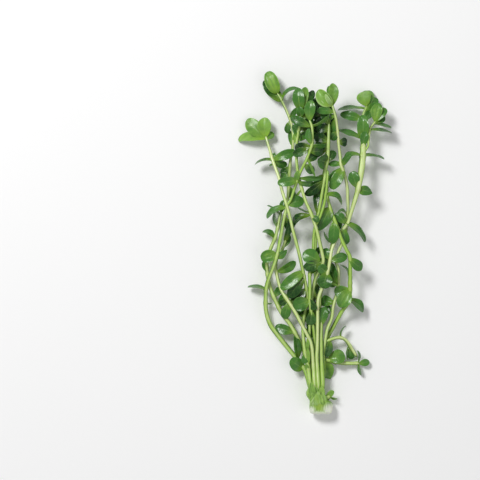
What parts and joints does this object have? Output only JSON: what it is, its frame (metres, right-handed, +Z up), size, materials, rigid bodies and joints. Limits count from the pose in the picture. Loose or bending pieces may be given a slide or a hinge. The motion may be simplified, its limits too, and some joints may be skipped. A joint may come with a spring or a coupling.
{
  "type": "baby tears bunch",
  "caption": "Cut bunch of baby tears, a soft aquarium plant: pale stems fan out of a swollen base and bear small round leaves in pairs and tip rosettes. It lies flat.",
  "frame": {"origin": "on the ground under the middle of the box round the lying bunch", "axes": "+Y runs from the cut base to the tips, +X points right as the picture shows the bunch, +Z points up, out of the side that the picture shows"},
  "size_m": [0.0672, 0.1502, 0.0205],
  "materials": {
    "crown": "smooth living plant tissue, soft gloss",
    "crown_sprig": "smooth living plant tissue, soft gloss",
    "outer_left_stem": "smooth living plant tissue, soft gloss",
    "rear_left_stem": "smooth living plant tissue, soft gloss",
    "crossing_left_stem": "smooth living plant tissue, soft gloss",
    "long_left_stem": "smooth living plant tissue, soft gloss",
    "front_shoot": "smooth living plant tissue, soft gloss",
    "centre_left_stem": "smooth living plant tissue, soft gloss",
    "centre_side_shoot": "smooth living plant tissue, soft gloss",
    "centre_tall_stem": "smooth living plant tissue, soft gloss",
    "right_middle_stem": "smooth living plant tissue, soft gloss",
    "right_thick_stem": "smooth living plant tissue, soft gloss",
    "right_top_shoot": "smooth living plant tissue, soft gloss",
    "outer_right_stem": "smooth living plant tissue, soft gloss",
    "rear_centre_stem": "smooth living plant tissue, soft gloss",
    "rear_right_stem": "smooth living plant tissue, soft gloss",
    "low_arching_shoot": "smooth living plant tissue, soft gloss",
    "low_side_shoot": "smooth living plant tissue, soft gloss"
  },
  "bodies": {
    "root": {"crown": "crown", "crown_sprig": "crown_sprig", "outer_left_stem": "outer_left_stem", "rear_left_stem": "rear_left_stem", "crossing_left_stem": "crossing_left_stem", "long_left_stem": "long_left_stem", "front_shoot": "front_shoot", "centre_left_stem": "centre_left_stem", "centre_side_shoot": "centre_side_shoot", "centre_tall_stem": "centre_tall_stem", "right_middle_stem": "right_middle_stem", "right_thick_stem": "right_thick_stem", "right_top_shoot": "right_top_shoot", "outer_right_stem": "outer_right_stem", "rear_centre_stem": "rear_centre_stem", "rear_right_stem": "rear_right_stem", "low_arching_shoot": "low_arching_shoot", "low_side_shoot": "low_side_shoot"}
  },
  "joints": []
}
